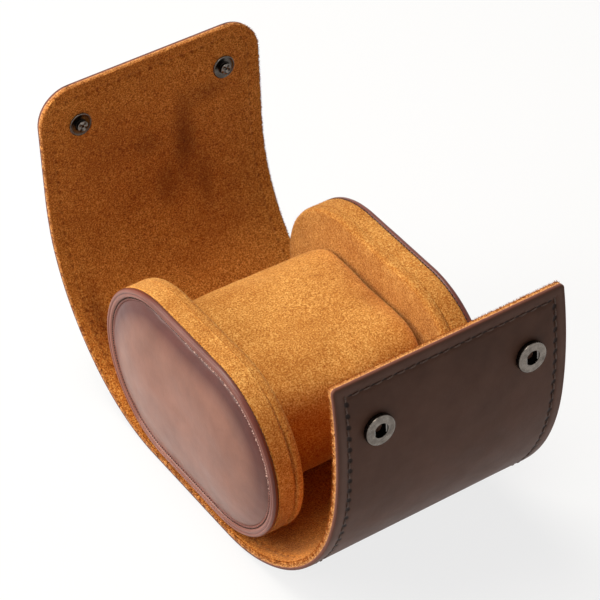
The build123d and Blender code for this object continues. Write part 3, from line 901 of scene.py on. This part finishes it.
def block(drawn_in):
    """A closed block, drawn in all round and more towards its ends, by a quarter round and a cubic."""
    t = np.concatenate([np.linspace(-1, -0.86, 12), np.linspace(-0.83, 0.83, 46), np.linspace(0.86, 1, 12)])
    x = cushion_half * t
    near = unit((np.abs(x) - (cushion_half - 4.0)) / 4.0)
    drop = drawn_in + 2.4 * (1 - np.sqrt(np.maximum(1 - near**2, 0))) + 0.7 * np.abs(t) ** 3
    y0, z0 = rounded_section(cushion_y, cushion_z, cushion_corner)
    y = y0[None] * (1 - drop[:, None] / cushion_y)
    z = z0[None] * (1 - drop[:, None] / cushion_z)
    tube = np.stack([x[:, None] + 0 * y, y, cushion_middle + z], -1)
    rings = np.array([0.97, 0.9, 0.75, 0.5, 0.25, 0.0])[:, None, None]
    ends = [tube[k].mean(0) + rings * (tube[k] - tube[k].mean(0)) for k in (0, -1)]
    return np.concatenate([ends[0][::-1], tube, ends[1]])


def vertex_rows(mesh, label):
    """The places or normals of a mesh's vertices, one to a row."""
    rows = np.empty(3 * len(mesh.vertices))
    mesh.vertices.foreach_get(label, rows)
    return rows.reshape(-1, 3)


def puffed(made, pressure, cap, voxel):
    """Cloth with air pressure inside it, stopped after 20 steps, with no point moved further than the cap."""
    scene, steps = bpy.context.scene, 20
    remesh = made.modifiers.new("even", "REMESH")
    remesh.mode, remesh.voxel_size = "VOXEL", voxel * MM
    apply_modifiers(made)
    start = vertex_rows(made.data, "co")
    cloth = made.modifiers.new("air", "CLOTH")
    cloth.settings.use_pressure = True
    cloth.settings.uniform_pressure_force = pressure
    cloth.settings.effector_weights.gravity = 0
    cloth.settings.quality = 6
    cloth.point_cache.frame_start, cloth.point_cache.frame_end = 1, steps
    for frame_number in range(1, steps + 1):
        scene.frame_set(frame_number)
    apply_modifiers(made)
    scene.frame_set(1)
    step = vertex_rows(made.data, "co") - start
    size = np.linalg.norm(step, axis=1, keepdims=True)
    held = start + step * np.minimum(1, cap * MM / np.maximum(size, 1e-9))
    made.data.vertices.foreach_set("co", held.ravel())


def apply_modifiers(made):
    """The evaluated mesh takes the place of the object's own, and its modifiers go."""
    view = bpy.context.evaluated_depsgraph_get()
    shaped = bpy.data.meshes.new_from_object(made.evaluated_get(view))
    made.modifiers.clear()
    made.data = shaped


def soft_cushion():
    """A block puffed up by air pressure, then its end seams are drawn in and its nap raised. A seam is a bell-shaped
    groove across X, and slow waves lift the rest by a fraction of a millimetre."""
    rough = piece("cushion_start", block(0.9), ring_faces, suede_tan)
    puffed(rough, 4.0, 1.5, 2.6)
    smooth = rough.modifiers.new("even_out", "SMOOTH")
    smooth.factor, smooth.iterations = 0.5, 6
    finer = rough.modifiers.new("finer", "SUBSURF")
    finer.levels = finer.render_levels = 1
    apply_modifiers(rough)
    mesh = rough.data
    points, normals = vertex_rows(mesh, "co") / MM, vertex_rows(mesh, "normal")
    radial = normals * np.array([0, 1, 1])
    side_on = np.linalg.norm(radial, axis=1)
    seam = dome(np.abs(points[:, 0]) - (cushion_half - 1.6), 0.9) * side_on
    slow = swell(points[:, 0] + 0.4 * points[:, 1], points[:, 1] + points[:, 2], 61, 0.22, (48.0, 31.0, 19.0, 11.0))
    points = points + radial * (slow * side_on - 0.35 * seam)[:, None]
    near = unit((np.abs(points[:, :1]) - (cushion_half - 4.5)) / 4.5)
    middle = np.array([0, 0, cushion_middle])
    points[:, 1:] = (middle + (points - middle) * (1 + 0.045 * near**2))[:, 1:]
    front = unit(-points[:, 1] / cushion_y)
    points[:, 0] = np.clip(points[:, 0], -cushion_half, cushion_half) * (1 - 0.045 * front**2)
    quads_of = np.empty(4 * len(mesh.polygons), np.int32)
    mesh.polygons.foreach_get("vertices", quads_of)
    rng = np.random.default_rng(77)
    chosen = rng.choice(len(points), 15000)
    chosen = chosen[(side_on[chosen] > 0.75) & (points[chosen, 2] > 25)]
    root = points[chosen] + rng.normal(0, 0.35, (len(chosen), 3)) * (1 - np.abs(normals[chosen]))
    fuzz = fibres(root, normals[chosen], 0.4, 78)
    # painted shade: darker on the lower front, and on the ends beside the pads where the gap's shadow falls
    shaded = 0.9 * unit((-points[:, 1] - 20) / 14) * unit((58 - points[:, 2]) / 28)
    ends = 0.9 * side_on * unit((np.abs(points[:, 0]) - (cushion_half - 1.6)) / 1.2)
    deep = [("deep", np.maximum(shaded, ends))]
    made = piece("cushion_cover", points, quads_of.reshape(-1, 4), suede_tan, 80, deep, fuzz)
    bpy.data.objects.remove(rough)
    return made


def cushion():
    made = soft_cushion()
    nodes = ("cushion_sleeve", "cushion_foam", "cushion_end_left", "cushion_end_right")
    mount(made, "cushion", "suede_tan", *nodes, fill=0.9)


# ------------------------------------------------------------ snaps
def lathe(name, node, profile, dark, side, depth, facing, lobes=0.0, lobe_radius=1.35):
    """A closed profile of (radius, height) turned about the axes of a side's two snaps, from a depth of the wrap, with
    how far each point is darkened by painted shade and painted dark reflection. lobes raises four bumps round a
    ring, as a cosine of four times the angle, with painted shade in the gaps between them."""
    steps = 64
    a = np.linspace(0, 2 * np.pi, steps, endpoint=False)
    swing = np.cos(4 * a + 0.6)
    s = np.full(2, side.total - (socket_edge if side is flap else stud_edge))
    along, out = side.axes(s)
    centre, normal = side.point(np.array([-snap_x, snap_x]), s, depth), facing * out
    radius, height = profile.T[:, :, None, None]
    height = height + lobes * swing[None, :, None] * (dome(radius - lobe_radius, 0.5) * (height > 1.8))
    parts, faces = [], []
    for k in (0, 1):
        across = np.cross(normal[k], along[k])
        ring = np.cos(a)[None, :, None] * across + np.sin(a)[None, :, None] * along[k]
        parts.append((centre[k] + radius * ring + height * normal[k]).reshape(-1, 3))
        faces.append(torus_faces(len(profile), steps) + k * len(profile) * steps)
    # painted shade in the gaps between the four bumps
    lobe_gap_shade = (lobes > 0) * (1 - swing) / 2 * dome(profile[:, :1] - lobe_radius, 0.6)
    marks = np.tile(unit(dark[:, None] + 0.8 * lobe_gap_shade).ravel(), len(parts))
    made = piece(name, np.concatenate(parts), np.concatenate(faces), gunmetal, 35, [("bore", marks)])
    mount(made, f"{side.name}_panel", "gunmetal", node)


def snaps():
    """Sockets and eyelets on the flap, studs and caps on the lid: turned profiles."""
    ring = smooth_profile(
        [
            (5.2, 0.0), (5.55, 0.1), (5.7, 0.45), (5.7, 1.2), (5.66, 1.65), (5.5, 2.02), (5.15, 2.25), (4.75, 2.3),
            (4.5, 2.2), (4.3, 2.14), (3.7, 2.13), (3.45, 2.2), (3.2, 2.3), (2.95, 2.28), (2.74, 2.12), (2.66, 1.8),
            (2.62, 1.2), (2.62, 0.6),
        ],
        70,
        [(2.62, 0.5), (3.6, 0.0)],
    )
    # painted shade inside the hole, and painted dark reflection on the lower outer wall
    inside = unit((2.74 - ring[:, 0]) / 0.08)
    inside = np.maximum(inside, 0.85 * unit((1.95 - ring[:, 1]) / 0.4) * (ring[:, 0] > 5))
    lathe("socket_rings", "snap_sockets", ring, inside, flap, thick, 1)
    disc = smooth_profile(
        [(1.6, 0.3), (1.75, 0.58), (2.3, 0.66), (3.4, 0.6), (4.2, 0.4), (4.5, 0.12), (4.42, 0.02)],
        26,
        [(2.0, 0.0), (2.0, -3.25), (2.4, -3.3), (2.4, -3.62), (1.62, -3.62), (1.6, -3.3)],
    )
    # painted shade inside the tube below the surface, and a slight even darkening elsewhere
    inside = np.where(disc[:, 1] < 0.05, 1.0, 0.2)
    lathe("eyelets", "snap_eyelets", disc, inside, flap, 0.0, -1)
    stud = smooth_profile(
        [
            (0.0, 1.85), (0.5, 1.9), (0.9, 2.12), (1.3, 2.33), (1.65, 2.3), (2.0, 2.12), (2.13, 1.95), (2.05, 1.75),
            (1.8, 1.58), (1.74, 1.2), (1.76, 0.8), (1.9, 0.45), (2.5, 0.32), (3.2, 0.34), (3.8, 0.48), (4.1, 0.62),
            (4.38, 0.56), (4.5, 0.3), (4.42, 0.04),
        ],
        64,
        [(2.0, 0.0), (1.6, -3.1), (0.0, -3.1)],
    )
    radius, height = stud.T
    # painted dark reflection on the dish and painted shade at the neck, less on the lip, least on the crown
    stud_painted_dark = np.where(radius > 4.15, 0.35, np.where(height > 1.9, 0.1, np.where(radius > 2.4, 0.62, 0.95)))
    lathe("stud_heads", "snap_studs", stud, stud_painted_dark, lid, 0.0, -1, lobes=0.3)
    cap = smooth_profile(
        [(0.0, 1.3), (2.0, 1.28), (3.8, 1.16), (5.0, 0.9), (5.7, 0.5), (5.98, 0.12), (5.8, 0.0)],
        30,
        [(2.0, -0.02), (0.0, -0.02)],
    )
    lathe("stud_caps", "snap_caps", cap, np.full(len(cap), 0.25), lid, thick, 1)


# ------------------------------------------------------------ build
dress(flap)
dress(lid)
end_pad("left", -1)
end_pad("right", 1)
cushion()
snaps()

for node_name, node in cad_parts.items():
    if not node.hide_render:
        finish = spring_wire if "spring" in node_name else grey_board
        node.data.materials.clear()
        node.data.materials.append(finish)


# ------------------------------------------------------------ studio
def seen_directly(graph):
    """1 for rays from the camera, off glossy faces or through clear ones, else 0."""
    rays = graph.nodes.new("ShaderNodeLightPath").outputs
    seen = graph.math("MAXIMUM", rays["Is Camera Ray"], rays["Is Glossy Ray"])
    return graph.math("MAXIMUM", seen, rays["Is Transmission Ray"])


def white_surround():
    """A white world for the camera and for reflections, and a dim one for all other rays."""
    scene = bpy.context.scene
    scene.view_settings.view_transform = "Standard"
    scene.world = bpy.data.worlds.new("studio")
    scene.world.use_nodes = True
    sky = Graph(scene.world.node_tree)
    ambient = sky.nodes["Background"]
    ambient.inputs["Color"].default_value, ambient.inputs["Strength"].default_value = (1.0, 0.99, 0.98, 1), 0.075
    white = sky.add("Background", {"Color": (1, 1, 1, 1), "Strength": 1.0})
    mixed = sky.add("MixShader", {0: seen_directly(sky), 1: ambient.outputs[0], 2: white})
    sky.give(sky.nodes["World Output"].inputs["Surface"], mixed)


def pale_floor():
    """A wide pale floor just under the case, white to the camera apart from the case's shadow."""
    floor_mesh = bpy.data.meshes.new("floor")
    half, level = 6.0, -0.0004
    corners = [(-half, -half, level), (half, -half, level), (half, half, level), (-half, half, level)]
    floor_mesh.from_pydata(corners, [], [(0, 1, 2, 3)])
    floor = bpy.data.objects.new("floor", floor_mesh)
    bpy.context.scene.collection.objects.link(floor)
    pale = Material("pale_floor")
    matt = pale.nodes["Principled BSDF"]
    for label, value in (("Base Color", (0.82, 0.82, 0.82, 1)), ("Roughness", 0.9), ("Specular IOR Level", 0.1)):
        matt.inputs[label].default_value = value
    glow = pale.add("Emission", {})
    share = pale.math("MULTIPLY", seen_directly(pale), 0.8)
    mixed = pale.add("MixShader", {0: share, 1: matt.outputs[0], 2: glow})
    pale.give(pale.nodes["Material Output"].inputs["Surface"], mixed)
    floor_mesh.materials.append(pale.made)


def softbox(name, place, aim, width, height, power):
    """A warm rectangular lamp turned towards its aim."""
    data = bpy.data.lights.new(name, "AREA")
    data.shape, data.color = "RECTANGLE", (1.0, 0.955, 0.88)
    data.size, data.size_y, data.energy = width, height, power
    light = bpy.data.objects.new(name, data)
    light.location = place
    light.rotation_euler = (Vector(aim) - Vector(place)).to_track_quat("-Z", "Y").to_euler()
    bpy.context.scene.collection.objects.link(light)


def camera():
    """The photograph's view: azimuth -34.6 and elevation 41.1 degrees, 995 mm from the case."""
    azimuth, elevation, distance = math.radians(-34.614), math.radians(41.144), 0.9951
    level = math.cos(elevation)
    back = Vector((math.sin(azimuth) * level, -math.cos(azimuth) * level, math.sin(elevation)))
    right = Vector((math.cos(azimuth), math.sin(azimuth), 0))
    up = back.cross(right)
    roll = math.radians(0.198)
    right, up = right * math.cos(roll) + up * math.sin(roll), up * math.cos(roll) - right * math.sin(roll)
    height, aside, below = 0.0691, 0.001228, 0.000337
    target = Vector((0, 0, height)) + right * aside - up * below
    data = bpy.data.cameras.new("camera")
    data.lens, data.sensor_width = 172.09, 36.0
    data.clip_start, data.clip_end = 0.05, 20.0
    eye = bpy.data.objects.new("camera", data)
    turn = Matrix((right, up, back)).transposed().to_4x4()
    eye.matrix_world = Matrix.Translation(target + back * distance) @ turn
    bpy.context.scene.collection.objects.link(eye)
    bpy.context.scene.camera = eye


white_surround()
pale_floor()
softbox("left_softbox", (-0.95, 0.5, 0.5), (0, 0, 0.05), 0.9, 0.7, 11.0)
softbox("top_softbox", (-0.25, 0.35, 1.1), (0, 0, 0.05), 0.8, 0.8, 15.0)
softbox("front_fill", (0.5, -1.0, 0.7), (0, 0, 0.06), 0.8, 0.6, 0.45)
camera()
